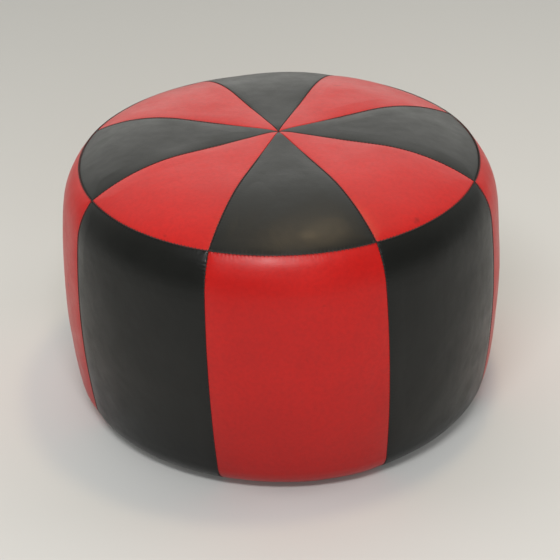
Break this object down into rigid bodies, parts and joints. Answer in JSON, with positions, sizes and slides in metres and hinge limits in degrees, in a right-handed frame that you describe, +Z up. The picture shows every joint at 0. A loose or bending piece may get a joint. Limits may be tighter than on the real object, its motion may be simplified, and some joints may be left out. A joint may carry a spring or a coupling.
{
  "type": "leather pouf",
  "caption": "Round patchwork leather pouf with red and black wedges on top, matching upright side panels, a zipped base and a foam and wadding filling.",
  "frame": {"origin": "on the floor at the middle of the pouf", "axes": "+Z up; -Y towards the red side panel at the front; the zip under the base runs along X and is closed at +X"},
  "size_m": [0.52, 0.52, 0.331],
  "materials": {
    "red_leather": "semi-gloss, fine grain",
    "black_leather": "semi-gloss, fine grain",
    "thread": "waxed",
    "cotton_lining": "matte plain weave",
    "wadding": "matte fibre",
    "foam": "open cell foam",
    "zip_tape": "matte woven tape",
    "zip_metal": "satin, slightly aged"
  },
  "bodies": {
    "pouf": {"black_top_front": "black_leather", "red_top_front_right": "red_leather", "black_top_right": "black_leather", "red_top_back_right": "red_leather", "black_top_back": "black_leather", "red_top_back_left": "red_leather", "black_top_left": "black_leather", "red_top_front_left": "red_leather", "red_side_front": "red_leather", "black_side_front_right": "black_leather", "red_side_right": "red_leather", "black_side_back_right": "black_leather", "red_side_back": "red_leather", "black_side_back_left": "black_leather", "red_side_left": "red_leather", "black_side_front_left": "black_leather", "base_half_front": "black_leather", "base_half_back": "black_leather", "top_seam_thread": "thread", "rim_seam_thread": "thread", "side_seam_thread": "thread", "base_seam_thread": "thread", "zip_stitching": "thread", "liner_top": "cotton_lining", "liner_band": "cotton_lining", "liner_base": "cotton_lining", "crown_wadding": "wadding", "side_wadding": "wadding", "base_wadding": "wadding", "foam_core": "foam", "zip_tape_front": "zip_tape", "zip_tape_back": "zip_tape", "zip_teeth_front": "zip_metal", "zip_teeth_back": "zip_metal", "zip_top_stops": "zip_metal", "zip_bottom_stop": "zip_metal"},
    "slider": {"zip_slider": "zip_metal"},
    "pull": {"zip_pull_tab": "zip_metal"}
  },
  "joints": [
    {"name": "zip_slide", "type": "slide", "parent": "pouf", "child": "slider", "axis": [-1, 0, 0], "range_m": [0, 0.2426], "deforming": ["zip_teeth_front", "zip_teeth_back"]},
    {"name": "pull_hinge", "type": "hinge", "parent": "slider", "child": "pull", "pos_m": [0.12333, 0, 0.0079], "axis": [0, -1, 0], "range_deg": [-14, 160]}
  ]
}
